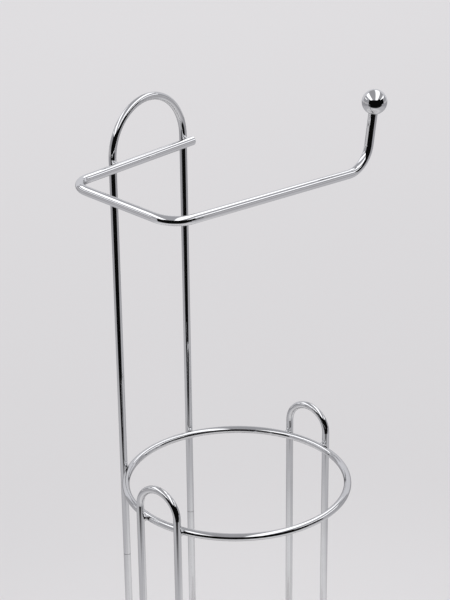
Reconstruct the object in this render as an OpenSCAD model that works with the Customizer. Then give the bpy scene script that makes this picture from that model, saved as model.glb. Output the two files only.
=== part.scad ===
// Free-standing chrome wire stand for toilet rolls. Spare rolls stack inside a
// cage of uprights and rings, and one roll hangs on the arm above it.
// The origin is on the floor, in the middle of the stand's overall box.
// +Z is up, +Y is towards the mast, and the roll bar's free end points along +X.

/* [Overall] */
// Height of the mast's top above the floor
stand_h = 610; // [560:2:720]
// Height of the storage ring's wire centre above the floor
ring_h = 352; // [300:2:400]

/* [Wire] */
// Diameter of the frame wire
wire_d = 5; // [4:0.25:6]
// Diameter of the thicker arm wire
arm_d = 6; // [5:0.25:8]
// Amount by which a wire is drawn thinner where it is bent
bend_thinning = 0.02; // [0.02:0.01:0.1]
// Gap between the storage ring and the mast wires that slide past it
pass_gap = 0.3; // [0.2:0.1:1]

/* [Rings] */
// Diameter of the storage ring and the base ring, on the wire's centre
ring_dia = 150; // [136:1:180]

/* [Mast] */
// Distance between the two mast wires, centre to centre
mast_w = 68; // [56:1:80]
// Height of the left joint, where the upper mast plugs into the lower one
joint_h = 283.3; // [150:0.1:286]
// Height of the right joint above the left one
joint_step = 4; // [0:0.5:10]
// Seam left between the butted wire ends at each joint
joint_seam = 0.3; // [0.2:0.1:0.8]
// Diameter of the joint spigots
spigot_d = 3; // [2:0.25:3]
// Length of a spigot below the joint, inside the lower wire
spigot_l = 24; // [12:1:40]
// Length of a spigot above the joint, fixed in the upper wire
spigot_hold = 10; // [6:1:20]
// Clearance around the spigot in the lower wire, on the radius
spigot_fit = 0.05; // [0.02:0.01:0.1]
// Room left under the spigot at the bottom of its bore
spigot_room = 1; // [0.5:0.5:4]

/* [Side hoops] */
// Distance between the two legs of a side hoop, centre to centre
hoop_w = 32; // [24:1:48]
// Height of a side hoop's straight legs above the storage ring, below the round top
hoop_rise = 10; // [0:1:40]

/* [Arm] */
// Distance of the crossbar below the start of the mast's round top
arm_below = 3.6; // [0:0.2:80]
// Crossbar from the left mast wire to the corner of the left bend
cross_left = 44; // [26:1:76]
// Crossbar from the right mast wire to its cut end
cross_right = 3; // [3:0.5:16]
// Forward run of the arm, corner to corner
arm_reach = 90; // [70:1:120]
// Roll bar, corner to corner
bar_l = 174.5; // [140:0.5:200]
// Upturned tip, from the roll bar's corner to the middle of the ball
tip_l = 45.5; // [36:0.5:70]
// Radius of the arm's left and front bends, on the wire's centre
arm_bend_r = 16; // [10:1:20]
// Radius of the bend below the tip, on the wire's centre
tip_bend_r = 18; // [10:1:20]
// Degrees by which the left bend stays short of square
left_spring = 3.2; // [0:0.1:5]
// Degrees by which the front bend stays short of square
front_spring = 1.5; // [0:0.1:5]
// Degrees by which the tip's bend stays short of square
tip_spring = 3.2; // [0:0.1:15]
// Degrees by which the arm hangs down towards the front
arm_drop = 2.6; // [0:0.1:5]
// Degrees by which the roll bar hangs down towards its tip
bar_drop = 2.6; // [0:0.1:5]
// Diameter of the ball on the tip
ball_d = 16.5; // [12:0.5:24]
// Depth to which the wire's end goes into the ball
ball_socket = 5; // [3:0.5:6]

/* [Feet] */
// Diameter of the ball feet
foot_d = 16; // [15:0.5:24]
// Depth to which the base ring is set down into a foot
foot_set = 1; // [0.5:0.25:2]
// Direction of the feet, in degrees from the sides towards front and back
foot_angle = 45; // [35:1:55]
// Diameter of the rubber pads
pad_d = 9; // [6:0.5:10]
// Thickness of the rubber pads
pad_t = 2.5; // [1.5:0.25:4]
// Height by which a pad stands out under its foot
pad_out = 1; // [0.5:0.25:1.25]
// Width of the foot's flat around its pad
pad_rim = 0.75; // [0.5:0.25:1.5]

/* [Welds] */
// Diameter of the weld beads where two wires cross
weld_d = 5.6; // [4:0.2:7]
// Gap between two crossed wires, filled by their weld
weld_gap = 0.1; // [0.05:0.05:0.3]

/* [Hidden] */
$fn = 64;
ring_fn = 180;
bend_lap = 0.2;

ring_r = ring_dia / 2;

// The mast wires stand just outside the storage ring
mast_x = mast_w / 2;
mast_r = ring_r + wire_d + pass_gap;
mast_y = sqrt(mast_r * mast_r - mast_x * mast_x);
mast_top = stand_h - wire_d / 2 - mast_x;
frame_cross_y = sqrt(ring_r * ring_r - mast_x * mast_x);

// The side hoops' legs are welded to the rings from outside
leg_y = hoop_w / 2;
leg_r = ring_r + wire_d + weld_gap;
leg_x = sqrt(leg_r * leg_r - leg_y * leg_y);
leg_angle = atan2(leg_y, leg_x);
hoop_top = ring_h + hoop_rise;
hoop_cross_x = sqrt(ring_r * ring_r - leg_y * leg_y);

// Levels of the base: pads, feet, hoop rails, base ring and frame rails
foot_flat_r = pad_d / 2 + pad_rim;
foot_z = pad_out + sqrt(foot_d * foot_d / 4 - foot_flat_r * foot_flat_r);
base_ring_z = foot_z + foot_d / 2 - foot_set + wire_d / 2;
hoop_rail_z = base_ring_z - wire_d - weld_gap;
frame_rail_z = base_ring_z + wire_d + weld_gap;

// The uprights turn in under the stand as tightly as the wire allows, so that
// the rails run straight where they cross the base ring
base_bend_r = wire_d;
frame_corner_r = ring_r - frame_cross_y;

// The arm lies against the front of the mast wires
arm_y = mast_y - wire_d / 2 - weld_gap - arm_d / 2;
arm_h = mast_top - arm_below;
cross_l = cross_right + mast_w + cross_left;
left_angle = 90 - left_spring;
front_angle = 90 - front_spring;
tip_angle = 90 - tip_spring;

// The ring's axis is set beside the origin, so that the origin is the middle of
// the overall box, which runs from the arm's left side to the ball
bar_turn = left_spring + front_spring;
arm_left_reach = mast_x + cross_left + arm_reach * sin(left_spring) + arm_d / 2;
tip_x = bar_l * cos(bar_turn) * cos(bar_drop) + tip_l * sin(tip_spring + bar_drop);
arm_right_reach = tip_x + ball_d / 2 + arm_d / 2 - arm_left_reach;
stand_x = (arm_left_reach - arm_right_reach) / 2;

// Length that a bend takes from the corner of the straight runs beside it
function corner(angle, radius) = radius * tan(angle / 2);

// Height of the joint on one side; side is -1 on the left
function joint_top(side) = side < 0 ? joint_h : joint_h + joint_step;

module place() {
    translate([stand_x, 0, 0])
        children();
}

// Runs the wire straight along +Z and carries on at its end
module run(length, dia) {
    cylinder(h = length, d = dia);
    translate([0, 0, length])
        children();
}

// Carries its children to the end of a bend
module bend_end(angle, radius) {
    translate([radius, 0, 0])
        rotate([0, angle, 0])
            translate([-radius, 0, 0])
                children();
}

// Bends the wire from +Z towards +X and carries on at the bend's end. Both ends
// of the bend lap a little way into the straight runs beside it.
module bend(angle, radius, dia) {
    translate([radius, 0, 0])
        rotate([90, bend_lap, 180])
            rotate_extrude(angle = angle + 2 * bend_lap, $fn = ring_fn)
                translate([radius, 0])
                    circle(d = dia - bend_thinning, $fn = $fn);
    bend_end(angle, radius)
        children();
}

// Turns the direction of the next bend about the wire
module roll(angle) {
    rotate([0, 0, angle])
        children();
}

module ring_wire(z) {
    translate([0, 0, z])
        rotate_extrude($fn = ring_fn)
            translate([ring_r, 0])
                circle(d = wire_d, $fn = $fn);
}

module mast_wire() {
    translate([-mast_x, mast_y, joint_top(-1)])
        run(mast_top - joint_top(-1), wire_d)
            bend(180, mast_x, wire_d)
                run(mast_top - joint_top(1), wire_d);
}

// Rods in both mast wires, from below their joints to above them
module spigots(below, above, dia) {
    for (side = [-1, 1])
        translate([side * mast_x, mast_y, joint_top(side) - below])
            cylinder(h = below + above, d = dia);
}

// Upper mast: one wire bent into a tall inverted U, drilled for the spigots
module mast_hoop() {
    color("silver")
        place()
            difference() {
                mast_wire();
                spigots(0, spigot_hold, spigot_d);
            }
}

// Spigot fixed in the end of an upper mast wire; side is -1 on the left
module mast_spigot(side) {
    color("gainsboro")
        place()
            translate([side * mast_x, mast_y, joint_top(side) - spigot_l])
                cylinder(h = spigot_l + spigot_hold, d = spigot_d);
}

// One wire: cut end, crossbar, left bend, forward run, front bend, roll bar,
// upturned tip
module arm_wire() {
    cross_run = cross_l - corner(left_angle, arm_bend_r);
    reach_run = arm_reach - corner(left_angle, arm_bend_r) - corner(front_angle, arm_bend_r);
    bar_run = bar_l - corner(front_angle, arm_bend_r) - corner(tip_angle, tip_bend_r);
    tip_run = tip_l - corner(tip_angle, tip_bend_r) - ball_d / 2 + ball_socket;
    translate([mast_x + cross_right, arm_y, arm_h])
        rotate([0, -90, 0])
            roll(-90 - arm_drop)
                run(cross_run, arm_d)
                    bend(left_angle, arm_bend_r, arm_d)
                        run(reach_run, arm_d)
                            roll(-bar_drop)
                                bend(front_angle, arm_bend_r, arm_d)
                                    run(bar_run, arm_d)
                                        roll(90)
                                            bend(tip_angle, tip_bend_r, arm_d)
                                                run(tip_run, arm_d);
}

// Carries its children to the middle of the ball, with +Z along the tip
module at_ball() {
    translate([mast_x + cross_right, arm_y, arm_h])
        rotate([0, -90, 0])
            roll(-90 - arm_drop)
                translate([0, 0, cross_l])
                    rotate([0, left_angle, 0])
                        translate([0, 0, arm_reach])
                            roll(-bar_drop)
                                rotate([0, front_angle, 0])
                                    translate([0, 0, bar_l])
                                        roll(90)
                                            rotate([0, tip_angle, 0])
                                                translate([0, 0, tip_l])
                                                    children();
}

module roll_arm() {
    color("silver")
        place()
            arm_wire();
}

module arm_ball() {
    color("gainsboro")
        place()
            at_ball()
                difference() {
                    sphere(d = ball_d);
                    translate([0, 0, -ball_d])
                        cylinder(h = ball_d / 2 + ball_socket, d = arm_d);
                }
}

// Weld beads where the crossbar lies against the two mast wires
module arm_welds() {
    color("darkgray")
        place()
            for (side = [-1, 1])
                translate([side * mast_x, 0, arm_h])
                    difference() {
                        translate([0, mast_y - (wire_d + weld_gap) / 2, 0])
                            rotate([90, 0, 0])
                                sphere(d = weld_d);
                        translate([0, mast_y, -weld_d])
                            cylinder(h = 2 * weld_d, d = wire_d);
                        translate([-weld_d, arm_y, 0])
                            rotate([0, 90, 0])
                                cylinder(h = 2 * weld_d, d = arm_d);
                    }
}

// One wire: two stubs that carry the mast, turned forward over the base ring
// as rails and joined along the front
module lower_frame_wire() {
    stub = joint_top(-1) - joint_seam - frame_rail_z - base_bend_r;
    rail = mast_y - base_bend_r + ring_r - frame_corner_r;
    front = mast_w - 2 * frame_corner_r;
    translate([-mast_x, mast_y, joint_top(-1) - joint_seam])
        rotate([180, 0, -90])
            run(stub, wire_d)
                bend(90, base_bend_r, wire_d)
                    run(rail, wire_d)
                        roll(-90)
                            bend(90, frame_corner_r, wire_d)
                                run(front, wire_d)
                                    bend(90, frame_corner_r, wire_d)
                                        run(rail, wire_d)
                                            roll(90)
                                                bend(90, base_bend_r, wire_d)
                                                    run(stub + joint_step, wire_d);
}

module lower_frame() {
    color("silver")
        place()
            difference() {
                lower_frame_wire();
                spigots(spigot_l + spigot_room, 0, spigot_d + 2 * spigot_fit);
            }
}

// Side hoop: two legs joined in a round top, turned in under the base ring as
// two rails that meet the other hoop's rails in the middle
module side_hoop_wire() {
    rail = leg_x - base_bend_r;
    leg = hoop_top - hoop_rail_z - base_bend_r;
    translate([0, -leg_y, hoop_rail_z])
        rotate([0, -90, 0])
            run(rail, wire_d)
                bend(90, base_bend_r, wire_d)
                    run(leg, wire_d)
                        roll(90)
                            bend(180, leg_y, wire_d)
                                run(leg, wire_d)
                                    roll(-90)
                                        bend(90, base_bend_r, wire_d)
                                            run(rail, wire_d);
}

module left_side_hoop() {
    color("silver")
        place()
            side_hoop_wire();
}

module right_side_hoop() {
    color("silver")
        place()
            mirror([1, 0, 0])
                side_hoop_wire();
}

module storage_ring() {
    color("silver")
        place()
            ring_wire(ring_h);
}

module base_ring() {
    color("silver")
        place()
            ring_wire(base_ring_z);
}

// Weld beads that hold the storage ring between the side hoops' legs
module ring_welds() {
    color("darkgray")
        place()
            difference() {
                for (side = [-1, 1])
                    for (turn = [-leg_angle, leg_angle])
                        mirror([side < 0 ? 1 : 0, 0, 0])
                            rotate([0, 0, turn])
                                translate([ring_r + (wire_d + weld_gap) / 2, 0, ring_h])
                                    rotate([0, 90, 0])
                                        sphere(d = weld_d);
                ring_wire(ring_h);
                side_hoop_wire();
                mirror([1, 0, 0])
                    side_hoop_wire();
            }
}

// Weld beads where the hoop rails pass under the base ring and the frame rails
// pass over it
module base_welds() {
    weld_z = (wire_d + weld_gap) / 2;
    color("darkgray")
        place()
            difference() {
                for (x = [-1, 1])
                    for (y = [-1, 1]) {
                        translate([x * hoop_cross_x, y * leg_y, base_ring_z - weld_z])
                            sphere(d = weld_d);
                        translate([x * mast_x, y * frame_cross_y, base_ring_z + weld_z])
                            sphere(d = weld_d);
                    }
                ring_wire(base_ring_z);
                lower_frame_wire();
                side_hoop_wire();
                mirror([1, 0, 0])
                    side_hoop_wire();
            }
}

// Carries its children to a place under the base ring; x and y are -1 or 1
module at_foot(x, y) {
    translate([x * ring_r * cos(foot_angle), y * ring_r * sin(foot_angle), 0])
        children();
}

// Ball foot, flat below, with a seat for its pad and a saddle for the ring
module foot(x, y) {
    color("gainsboro")
        place()
            difference() {
                at_foot(x, y)
                    translate([0, 0, foot_z])
                        sphere(d = foot_d);
                at_foot(x, y)
                    translate([0, 0, pad_out - foot_d])
                        cylinder(h = foot_d, d = foot_d);
                at_foot(x, y)
                    cylinder(h = pad_t, d = pad_d);
                ring_wire(base_ring_z);
            }
}

module pad(x, y) {
    color([0.12, 0.12, 0.13])
        place()
            at_foot(x, y)
                cylinder(h = pad_t, d = pad_d);
}

mast_hoop();
mast_spigot(-1);  // left_mast_spigot
mast_spigot(1);  // right_mast_spigot
roll_arm();
arm_ball();
arm_welds();
lower_frame();
left_side_hoop();
right_side_hoop();
storage_ring();
base_ring();
ring_welds();
base_welds();
foot(-1, -1);  // front_left_foot
foot(1, -1);  // front_right_foot
foot(-1, 1);  // back_left_foot
foot(1, 1);  // back_right_foot
pad(-1, -1);  // front_left_pad
pad(1, -1);  // front_right_pad
pad(-1, 1);  // back_left_pad
pad(1, 1);  // back_right_pad
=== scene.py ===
"""Looks of a free-standing chrome wire stand for toilet rolls.

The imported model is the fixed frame. This script gives every wire its chrome,
replaces the plain weld beads with worked ones, and sets up the studio: a pale
floor, soft light, the panels and dark cards that chrome needs around it, and a
camera at the photograph's viewing angle.
"""

import math

import bpy
from mathutils import Matrix, Vector, noise as mathnoise


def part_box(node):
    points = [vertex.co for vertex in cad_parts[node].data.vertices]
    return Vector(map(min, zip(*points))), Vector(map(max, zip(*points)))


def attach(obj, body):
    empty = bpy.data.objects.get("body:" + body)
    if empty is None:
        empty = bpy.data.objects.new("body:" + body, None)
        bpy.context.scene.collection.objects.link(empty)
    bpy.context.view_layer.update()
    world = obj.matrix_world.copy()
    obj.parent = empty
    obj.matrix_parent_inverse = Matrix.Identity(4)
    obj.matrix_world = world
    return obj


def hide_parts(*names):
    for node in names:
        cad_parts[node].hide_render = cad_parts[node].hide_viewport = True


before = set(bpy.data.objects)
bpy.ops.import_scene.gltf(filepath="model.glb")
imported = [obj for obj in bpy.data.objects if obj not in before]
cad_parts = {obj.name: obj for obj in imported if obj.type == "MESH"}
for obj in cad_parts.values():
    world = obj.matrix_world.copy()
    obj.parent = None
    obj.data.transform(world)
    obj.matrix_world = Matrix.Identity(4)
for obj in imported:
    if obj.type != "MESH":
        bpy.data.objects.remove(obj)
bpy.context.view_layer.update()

MM = 0.001

# The photograph's camera, from a fit to the wires that it shows
PHOTO_W = 450
PHOTO_H = 600
FOCAL_PX = 1711.28
SENSOR_MM = 36.0
CAMERA_AZIMUTH = math.radians(-49.614)
CAMERA_PITCH = math.radians(22.904)
CAMERA_ROLL = math.radians(-0.621)
CAMERA_AT = Vector((-0.79036, -0.65621, 0.91580))

# Worked weld beads: radius, and how flat they are along the line through both wires
BEAD_R = 2.9 * MM
BEAD_FLAT = 0.86

# Reflectance of the chrome plate, of the brighter arm and of the duller welds
PLATE = 0.70
ARM_PLATE = 0.76
WELD_PLATE = 0.66

# The studio's own axes: to the photograph's right, and towards its camera
TO_RIGHT = Vector((math.cos(CAMERA_AZIMUTH), math.sin(CAMERA_AZIMUTH), 0.0))
TO_CAMERA = Vector((math.sin(CAMERA_AZIMUTH), -math.cos(CAMERA_AZIMUTH), 0.0))

# The mirrored table: its rings of light, and how much its front edge draws back to both sides
TABLE_IN = 0.30
TABLE_MID = 0.80
TABLE_FRONT = 0.52
TABLE_BOW = 0.12

# The mirrored room: its radius, the heights of its ceiling and walls, and the panels' soft edges
ROOM_R = 3.2
CEILING = 2.0
WALL_TOP = 2.5
PANEL_SOFT = 0.12

# The pool of light round the stand's foot: its radius, and the height of its lamp
POOL_R = 0.66
POOL_LAMP_UP = 2.4

# The floor, and its tone where it meets the world far away
FLOOR_HALF = 14.0
FLOOR_TINT = (0.704, 0.692, 0.708, 1.0)
FAR_FLOOR = (0.641, 0.630, 0.645, 1.0)

# Levels of the studio, as linear light
AMBIENT = (0.90, 0.90, 0.90, 1.0)
NEAR_TABLE = (0.84, 0.835, 0.855, 1.0)
MID_TABLE = (0.59, 0.585, 0.61, 1.0)
FAR_TABLE = (0.42, 0.415, 0.44, 1.0)
ROOM_GREY = (0.43, 0.43, 0.455, 1.0)
BACK_WALL = (0.80, 0.80, 0.84, 1.0)
PANEL_WHITE = (1.7, 1.7, 1.74, 1.0)
BLACK = (0.004, 0.004, 0.004, 1.0)


def new_material(name):
    material = bpy.data.materials.new(name)
    material.use_nodes = True
    return material


def node(tree, kind, **inputs):
    """Adds a node and sets its inputs by name."""
    made = tree.nodes.new(kind)
    for key, value in inputs.items():
        made.inputs[key.replace("_", " ")].default_value = value
    return made


def noise(tree, coords, scale, detail, roughness=0.5):
    made = node(tree, "ShaderNodeTexNoise", Scale=scale, Detail=detail, Roughness=roughness)
    tree.links.new(coords, made.inputs["Vector"])
    return made.outputs["Fac"]


def to_range(tree, value, low, high, from_low=0.0, from_high=1.0):
    made = tree.nodes.new("ShaderNodeMapRange")
    made.inputs["From Min"].default_value = from_low
    made.inputs["From Max"].default_value = from_high
    made.inputs["To Min"].default_value = low
    made.inputs["To Max"].default_value = high
    tree.links.new(value, made.inputs["Value"])
    return made.outputs["Result"]


def bump(tree, height, distance, strength, normal=None):
    made = node(tree, "ShaderNodeBump", Strength=strength, Distance=distance)
    tree.links.new(height, made.inputs["Height"])
    if normal is not None:
        tree.links.new(normal, made.inputs["Normal"])
    return made.outputs["Normal"]


def chrome(name, tone, polish, edge):
    """Bright chrome plate: its reflectance, its mean roughness and the share of light its outline keeps."""
    material = new_material(name)
    tree = material.node_tree
    shader = tree.nodes["Principled BSDF"]
    shader.inputs["Metallic"].default_value = 1.0
    shader.inputs["Specular Tint"].default_value = (edge, edge, edge, 1.0)
    coords = tree.nodes.new("ShaderNodeTexCoord").outputs["Object"]

    # Faint clouding of the plate, from handling and cleaning
    cloud = noise(tree, coords, 38.0, 3.0)
    mix = tree.nodes.new("ShaderNodeMix")
    mix.data_type = "RGBA"
    mix.inputs["A"].default_value = (tone, tone * 1.004, tone * 1.012, 1.0)
    mix.inputs["B"].default_value = (tone * 0.95, tone * 0.952, tone * 0.955, 1.0)
    tree.links.new(to_range(tree, cloud, 0.0, 1.0, 0.45, 0.7), mix.inputs["Factor"])
    tree.links.new(mix.outputs["Result"], shader.inputs["Base Color"])

    # Roughness drifts with the clouding and rises in short hairline scratches
    stretch = node(tree, "ShaderNodeMapping", Scale=(900.0, 900.0, 70.0), Rotation=(0.3, 0.2, 0.0))
    tree.links.new(coords, stretch.inputs["Vector"])
    hairline = noise(tree, stretch.outputs["Vector"], 1.0, 2.0, 0.7)
    scratch = to_range(tree, hairline, 0.0, 0.05, 0.66, 0.8)
    soft = to_range(tree, cloud, polish * 0.7, polish * 1.6, 0.3, 0.75)
    total = tree.nodes.new("ShaderNodeMath")
    total.operation = "ADD"
    tree.links.new(soft, total.inputs[0])
    tree.links.new(scratch, total.inputs[1])
    tree.links.new(total.outputs["Value"], shader.inputs["Roughness"])

    # The drawn wire under the plate is very slightly uneven
    wave = noise(tree, coords, 110.0, 2.0)
    grain = noise(tree, coords, 2400.0, 2.0)
    normal = bump(tree, wave, 0.00003, 0.3)
    tree.links.new(bump(tree, grain, 0.000002, 0.07, normal), shader.inputs["Normal"])
    return material


def drawn_steel(name):
    """Bare steel pin with fine lines along its length."""
    material = new_material(name)
    tree = material.node_tree
    shader = tree.nodes["Principled BSDF"]
    shader.inputs["Metallic"].default_value = 1.0
    coords = tree.nodes.new("ShaderNodeTexCoord").outputs["Object"]
    stretch = node(tree, "ShaderNodeMapping", Scale=(5200.0, 5200.0, 60.0))
    tree.links.new(coords, stretch.inputs["Vector"])
    lines = noise(tree, stretch.outputs["Vector"], 1.0, 3.0, 0.6)
    mix = tree.nodes.new("ShaderNodeMix")
    mix.data_type = "RGBA"
    mix.inputs["A"].default_value = (0.46, 0.46, 0.455, 1.0)
    mix.inputs["B"].default_value = (0.60, 0.60, 0.595, 1.0)
    tree.links.new(lines, mix.inputs["Factor"])
    tree.links.new(mix.outputs["Result"], shader.inputs["Base Color"])
    tree.links.new(to_range(tree, lines, 0.22, 0.42), shader.inputs["Roughness"])
    tree.links.new(bump(tree, lines, 0.00004, 0.5), shader.inputs["Normal"])
    return material


def rubber(name):
    """Matt black rubber with moulding grain and a little dust."""
    material = new_material(name)
    tree = material.node_tree
    shader = tree.nodes["Principled BSDF"]
    coords = tree.nodes.new("ShaderNodeTexCoord").outputs["Object"]
    dust = noise(tree, coords, 420.0, 5.0)
    mix = tree.nodes.new("ShaderNodeMix")
    mix.data_type = "RGBA"
    mix.inputs["A"].default_value = (0.018, 0.018, 0.019, 1.0)
    mix.inputs["B"].default_value = (0.075, 0.072, 0.068, 1.0)
    tree.links.new(to_range(tree, dust, 0.0, 1.0, 0.45, 0.8), mix.inputs["Factor"])
    tree.links.new(mix.outputs["Result"], shader.inputs["Base Color"])
    tree.links.new(to_range(tree, dust, 0.62, 0.88), shader.inputs["Roughness"])
    grain = noise(tree, coords, 3200.0, 3.0)
    tree.links.new(bump(tree, grain, 0.00006, 0.6), shader.inputs["Normal"])
    return material


def dress(name, material):
    """Gives a CAD node its material."""
    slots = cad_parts[name].material_slots
    if slots:
        for slot in slots:
            slot.material = material
    else:
        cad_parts[name].data.materials.append(material)


def solids_of(name):
    """Middle of the box of each separate solid in a CAD node."""
    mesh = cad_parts[name].data
    parent = {}

    def root(spot):
        while parent[spot] != spot:
            spot = parent[spot]
        return spot

    spots = [tuple(round(value / (0.001 * MM)) for value in vertex.co) for vertex in mesh.vertices]
    for spot in spots:
        parent[spot] = spot
    for edge in mesh.edges:
        first, second = edge.vertices
        parent[root(spots[first])] = root(spots[second])
    groups = {}
    for vertex, spot in zip(mesh.vertices, spots):
        groups.setdefault(root(spot), []).append(vertex.co)
    middles = []
    for points in groups.values():
        low = Vector([min(p[axis] for p in points) for axis in range(3)])
        high = Vector([max(p[axis] for p in points) for axis in range(3)])
        middles.append((low + high) / 2)
    return sorted(middles, key=lambda m: (round(m.x, 4), round(m.y, 4), round(m.z, 4)))


def bead_points(middle, across, seed, rings, segments):
    """Lumpy bead, a little flat along the line through both wires, with fine ripples round it."""
    turn = across.to_track_quat("Z", "Y")
    points = []
    for ring in range(1, rings):
        polar = math.pi * ring / rings
        side = math.sin(polar)
        for i in range(segments):
            around = 2 * math.pi * i / segments
            out = Vector((side * math.cos(around), side * math.sin(around), math.cos(polar)))
            lump = mathnoise.noise(out * 1.7 + Vector((seed * 3.7, 0.0, 0.0)))
            ripple = math.cos(9.0 * out.x + 3.0 * lump)
            radius = BEAD_R * (1 + 0.10 * lump + 0.012 * ripple)
            place = Vector((out.x * radius, out.y * radius, out.z * radius * BEAD_FLAT))
            points.append(middle + turn @ place)
    for sign in (1, -1):
        points.append(middle + turn @ Vector((0.0, 0.0, sign * BEAD_R * BEAD_FLAT)))
    return points


def bead_faces(start, rings, segments):
    """Faces over the rows of bead_points, whose first point has the index start."""
    faces = []
    top = start + (rings - 1) * segments
    for i in range(segments):
        follow = (i + 1) % segments
        faces.append((top, start + i, start + follow))
        last = start + (rings - 2) * segments
        faces.append((last + follow, last + i, top + 1))
        for ring in range(rings - 2):
            row = start + ring * segments
            faces.append((row + i, row + segments + i, row + segments + follow, row + follow))
    return faces


def weld_beads(node_name, body, material, across):
    """Worked beads in place of a CAD node's plain ones. across(middle) is the line through both wires."""
    rings = 20
    segments = 32
    points = []
    faces = []
    for seed, middle in enumerate(solids_of(node_name)):
        faces += bead_faces(len(points), rings, segments)
        points += bead_points(middle, across(middle), seed, rings, segments)
    mesh = bpy.data.meshes.new("worked_" + node_name)
    mesh.from_pydata([tuple(p) for p in points], [], faces)
    mesh.shade_smooth()
    mesh.materials.append(material)
    made = bpy.data.objects.new("worked_" + node_name, mesh)
    bpy.context.scene.collection.objects.link(made)
    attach(made, body)
    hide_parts(node_name)


def build_welds(material):
    ring_low, ring_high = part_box("storage_ring")
    axis = (ring_low + ring_high) / 2

    def outwards(middle):
        return Vector((middle.x - axis.x, middle.y - axis.y, 0.0))

    weld_beads("arm_welds", "mast", material, lambda middle: Vector((0.0, 1.0, 0.0)))
    weld_beads("ring_welds", "stand", material, outwards)
    weld_beads("base_welds", "stand", material, lambda middle: Vector((0.0, 0.0, 1.0)))


def reach(tree, coords):
    """Distance from the middle of the stand."""
    length = tree.nodes.new("ShaderNodeVectorMath")
    length.operation = "LENGTH"
    tree.links.new(coords, length.inputs[0])
    return length.outputs["Value"]


def nearness(tree, coords):
    """Distance towards the camera, growing a little to both sides."""
    larger = tree.nodes.new("ShaderNodeMath")
    larger.operation = "MAXIMUM"
    for i, side in enumerate((-TABLE_BOW, TABLE_BOW)):
        dot = tree.nodes.new("ShaderNodeVectorMath")
        dot.operation = "DOT_PRODUCT"
        dot.inputs[1].default_value = TO_CAMERA + TO_RIGHT * side
        tree.links.new(coords, dot.inputs[0])
        tree.links.new(dot.outputs["Value"], larger.inputs[i])
    return larger.outputs["Value"]


def glow(name, colour, fade=None):
    """Plain light, for the studio's cards and panels.

    With fade = (measure, start, end, first), the light runs from the colour
    called first to its own, between two distances taken by that measure.
    """
    material = new_material(name)
    tree = material.node_tree
    tree.nodes.clear()
    light = node(tree, "ShaderNodeEmission", Color=colour)
    out = tree.nodes.new("ShaderNodeOutputMaterial")
    tree.links.new(light.outputs["Emission"], out.inputs["Surface"])
    if fade:
        measure, start, end, first = fade
        distance = measure(tree, tree.nodes.new("ShaderNodeTexCoord").outputs["Object"])
        mix = tree.nodes.new("ShaderNodeMix")
        mix.data_type = "RGBA"
        mix.inputs["A"].default_value = first
        mix.inputs["B"].default_value = colour
        step = to_range(tree, distance, 0.0, 1.0, start, end)
        step.node.interpolation_type = "SMOOTHSTEP"
        tree.links.new(step, mix.inputs["Factor"])
        tree.links.new(mix.outputs["Result"], light.inputs["Color"])
    return material


def studio_point(right, near, up):
    return TO_RIGHT * right + TO_CAMERA * near + Vector((0.0, 0.0, up))


def card(name, points, faces, colour, fade=None):
    """A card that only reflections see."""
    mesh = bpy.data.meshes.new(name)
    mesh.from_pydata([tuple(p) for p in points], [], faces)
    mesh.materials.append(glow(name, colour, fade))
    made = bpy.data.objects.new(name, mesh)
    bpy.context.scene.collection.objects.link(made)
    made.visible_camera = False
    made.visible_diffuse = False
    made.visible_transmission = False
    made.visible_volume_scatter = False
    made.visible_shadow = False
    return made


def band(name, az_from, az_to, first, second, colour, fade=None, steps=40):
    """Card between two arcs round the stand, each given as (radius, height).

    Azimuth is in degrees from the camera, positive to its right.
    """
    points = []
    for radius, up in (first, second):
        for i in range(steps + 1):
            turn = math.radians(az_from + (az_to - az_from) * i / steps)
            points.append(studio_point(radius * math.sin(turn), radius * math.cos(turn), up))
    count = steps + 1
    faces = [(i, i + 1, count + i + 1, count + i) for i in range(steps)]
    return card(name, points, faces, colour, fade)


def panel(name, right_from, right_to, near_from, near_to):
    """Ceiling panel whose light dies away towards its edges."""
    made = card(name, [], [], PANEL_WHITE)
    rights = (right_from, right_from + PANEL_SOFT, right_to - PANEL_SOFT, right_to)
    nears = (near_from, near_from + PANEL_SOFT, near_to - PANEL_SOFT, near_to)
    points = [studio_point(right, near, CEILING) for near in nears for right in rights]
    faces = []
    for row in range(3):
        for column in range(3):
            first = 4 * row + column
            faces.append((first, first + 1, first + 5, first + 4))
    made.data.from_pydata([tuple(p) for p in points], [], faces)
    level = made.data.attributes.new("level", "FLOAT", "POINT")
    for inner in (5, 6, 9, 10):
        level.data[inner].value = 1.0

    tree = made.data.materials[0].node_tree
    read = tree.nodes.new("ShaderNodeAttribute")
    read.attribute_name = "level"
    mix = tree.nodes.new("ShaderNodeMix")
    mix.data_type = "RGBA"
    mix.inputs["A"].default_value = ROOM_GREY
    mix.inputs["B"].default_value = PANEL_WHITE
    tree.links.new(read.outputs["Fac"], mix.inputs["Factor"])
    tree.links.new(mix.outputs["Result"], tree.nodes["Emission"].inputs["Color"])


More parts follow.
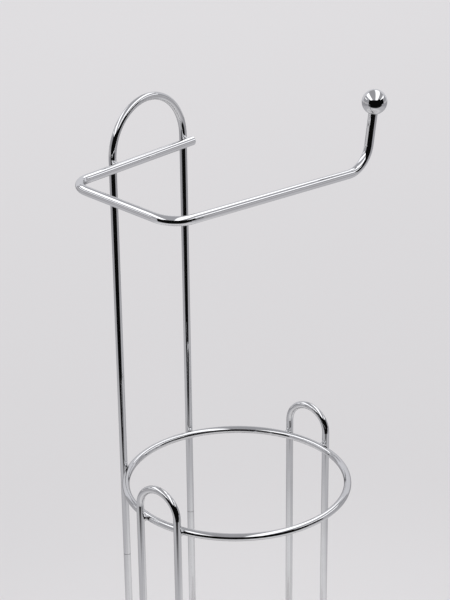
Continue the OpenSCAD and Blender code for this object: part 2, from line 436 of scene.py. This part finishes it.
def build_reflections():
    """What the chrome mirrors: a pale table, the dark room in front of it and bright panels overhead.

    Bands that cross the table lie a millimetre apart, so that they don't fight.
    """
    lit = (reach, 0.34, 0.58, NEAR_TABLE)
    fading = (reach, TABLE_MID, 1.50, MID_TABLE)
    edge = (nearness, 0.54, 0.71, MID_TABLE)
    band("table", 0, 360, (TABLE_IN, 0.001), (TABLE_MID, 0.001), MID_TABLE, lit)
    band("far_table", 0, 360, (TABLE_MID, 0.001), (ROOM_R, 0.001), FAR_TABLE, fading)
    band("dark_floor", -60, 68, (TABLE_FRONT, 0.002), (ROOM_R, 0.002), BLACK, edge)
    band("dark_room", -58, 86, (ROOM_R, 0.0), (ROOM_R, WALL_TOP), BLACK)
    band("back_wall", 130, 230, (ROOM_R, 0.0), (ROOM_R, WALL_TOP), BACK_WALL)
    panel("panel_right", 0.20, 1.15, -2.3, 2.4)
    panel("panel_far_right", 2.35, 3.75, -1.7, 1.7)
    panel("panel_left", -2.05, -0.83, -1.6, 2.2)
    panel("panel_far_left", -4.55, -3.45, -2.3, 0.7)


def build_floor():
    """A pale floor without an edge in view."""
    mesh = bpy.data.meshes.new("floor")
    signs = ((-1, -1), (1, -1), (1, 1), (-1, 1))
    mesh.from_pydata([(x * FLOOR_HALF, y * FLOOR_HALF, 0.0) for x, y in signs], [], [(0, 1, 2, 3)])
    floor = bpy.data.objects.new("floor", mesh)
    bpy.context.scene.collection.objects.link(floor)
    material = new_material("floor")
    shader = material.node_tree.nodes["Principled BSDF"]
    shader.inputs["Base Color"].default_value = FLOOR_TINT
    shader.inputs["Roughness"].default_value = 1.0
    shader.inputs["Specular IOR Level"].default_value = 0.0
    mesh.materials.append(material)


def build_world():
    """Even light on everything, the far floor's tone for the camera and a grey room for the chrome."""
    world = bpy.data.worlds.new("studio")
    bpy.context.scene.world = world
    world.use_nodes = True
    tree = world.node_tree
    tree.nodes.clear()
    path = tree.nodes.new("ShaderNodeLightPath")
    seen = node(tree, "ShaderNodeBackground", Color=AMBIENT).outputs["Background"]
    for ray, colour in (("Is Camera Ray", FAR_FLOOR), ("Is Glossy Ray", ROOM_GREY)):
        shade = node(tree, "ShaderNodeBackground", Color=colour).outputs["Background"]
        mix = tree.nodes.new("ShaderNodeMixShader")
        tree.links.new(path.outputs[ray], mix.inputs["Fac"])
        tree.links.new(seen, mix.inputs[1])
        tree.links.new(shade, mix.inputs[2])
        seen = mix.outputs["Shader"]
    out = tree.nodes.new("ShaderNodeOutputWorld")
    tree.links.new(seen, out.inputs["Surface"])


def soft_lamp(name, at, aim, width, depth, power):
    """A large soft lamp that the chrome doesn't mirror."""
    data = bpy.data.lights.new(name, "AREA")
    data.shape = "RECTANGLE"
    data.size = width
    data.size_y = depth
    data.energy = power
    lamp = bpy.data.objects.new(name, data)
    lamp.location = at
    lamp.rotation_mode = "QUATERNION"
    lamp.rotation_quaternion = (at - aim).to_track_quat("Z", "Y")
    lamp.visible_glossy = False
    bpy.context.scene.collection.objects.link(lamp)


def pool_lamp():
    """A faint pool of light round the stand's foot."""
    data = bpy.data.lights.new("pool_lamp", "SPOT")
    data.energy = 18.0
    data.spot_size = 2 * math.atan(POOL_R / POOL_LAMP_UP)
    data.spot_blend = 0.8
    data.shadow_soft_size = 0.12
    lamp = bpy.data.objects.new("pool_lamp", data)
    lamp.location = studio_point(0.07, 0.0, POOL_LAMP_UP)
    lamp.visible_glossy = False
    bpy.context.scene.collection.objects.link(lamp)


def build_lamps():
    key = studio_point(0.7, 0.9, 2.2)
    soft_lamp("key_lamp", key, studio_point(0.4, 0.4, 0.0), 2.2, 1.6, 2.6)
    back = studio_point(0.0, -3.2, 2.6)
    soft_lamp("back_lamp", back, studio_point(0.0, -3.2, 0.0), 4.0, 2.0, 15.0)
    pool_lamp()


def build_camera():
    data = bpy.data.cameras.new("camera")
    data.sensor_width = SENSOR_MM
    data.lens = FOCAL_PX / PHOTO_H * SENSOR_MM
    data.clip_start = 0.05
    data.clip_end = 100.0
    camera = bpy.data.objects.new("camera", data)
    level = math.cos(CAMERA_PITCH)
    look = -TO_CAMERA * level - Vector((0.0, 0.0, math.sin(CAMERA_PITCH)))
    up = TO_RIGHT.cross(look)
    turn = math.cos(CAMERA_ROLL)
    tilt = math.sin(CAMERA_ROLL)
    right = TO_RIGHT * turn + up * tilt
    up = up * turn - TO_RIGHT * tilt
    axes = Matrix((right, up, -look)).transposed()
    camera.matrix_world = Matrix.Translation(CAMERA_AT) @ axes.to_4x4()
    bpy.context.scene.collection.objects.link(camera)
    bpy.context.scene.camera = camera


def dress_stand():
    wire = chrome("wire_chrome", PLATE, 0.035, 0.68)
    arm = chrome("arm_chrome", ARM_PLATE, 0.03, 0.80)
    ball = chrome("ball_chrome", PLATE, 0.02, 0.90)
    weld = chrome("weld_chrome", WELD_PLATE, 0.08, 0.80)
    for name in ("mast_hoop", "lower_frame", "storage_ring", "base_ring"):
        dress(name, wire)
    dress("roll_arm", arm)
    dress("arm_ball", ball)
    for name in ("arm_welds", "ring_welds", "base_welds"):
        dress(name, weld)
    build_welds(weld)
    pin = drawn_steel("pin_steel")
    pad = rubber("pad_rubber")
    for side in ("left", "right"):
        dress(side + "_side_hoop", wire)
        dress(side + "_mast_spigot", pin)
        for end in ("front", "back"):
            dress(end + "_" + side + "_foot", ball)
            dress(end + "_" + side + "_pad", pad)


build_world()
build_floor()
build_lamps()
build_reflections()
build_camera()
dress_stand()
bpy.context.scene.view_settings.view_transform = "Standard"
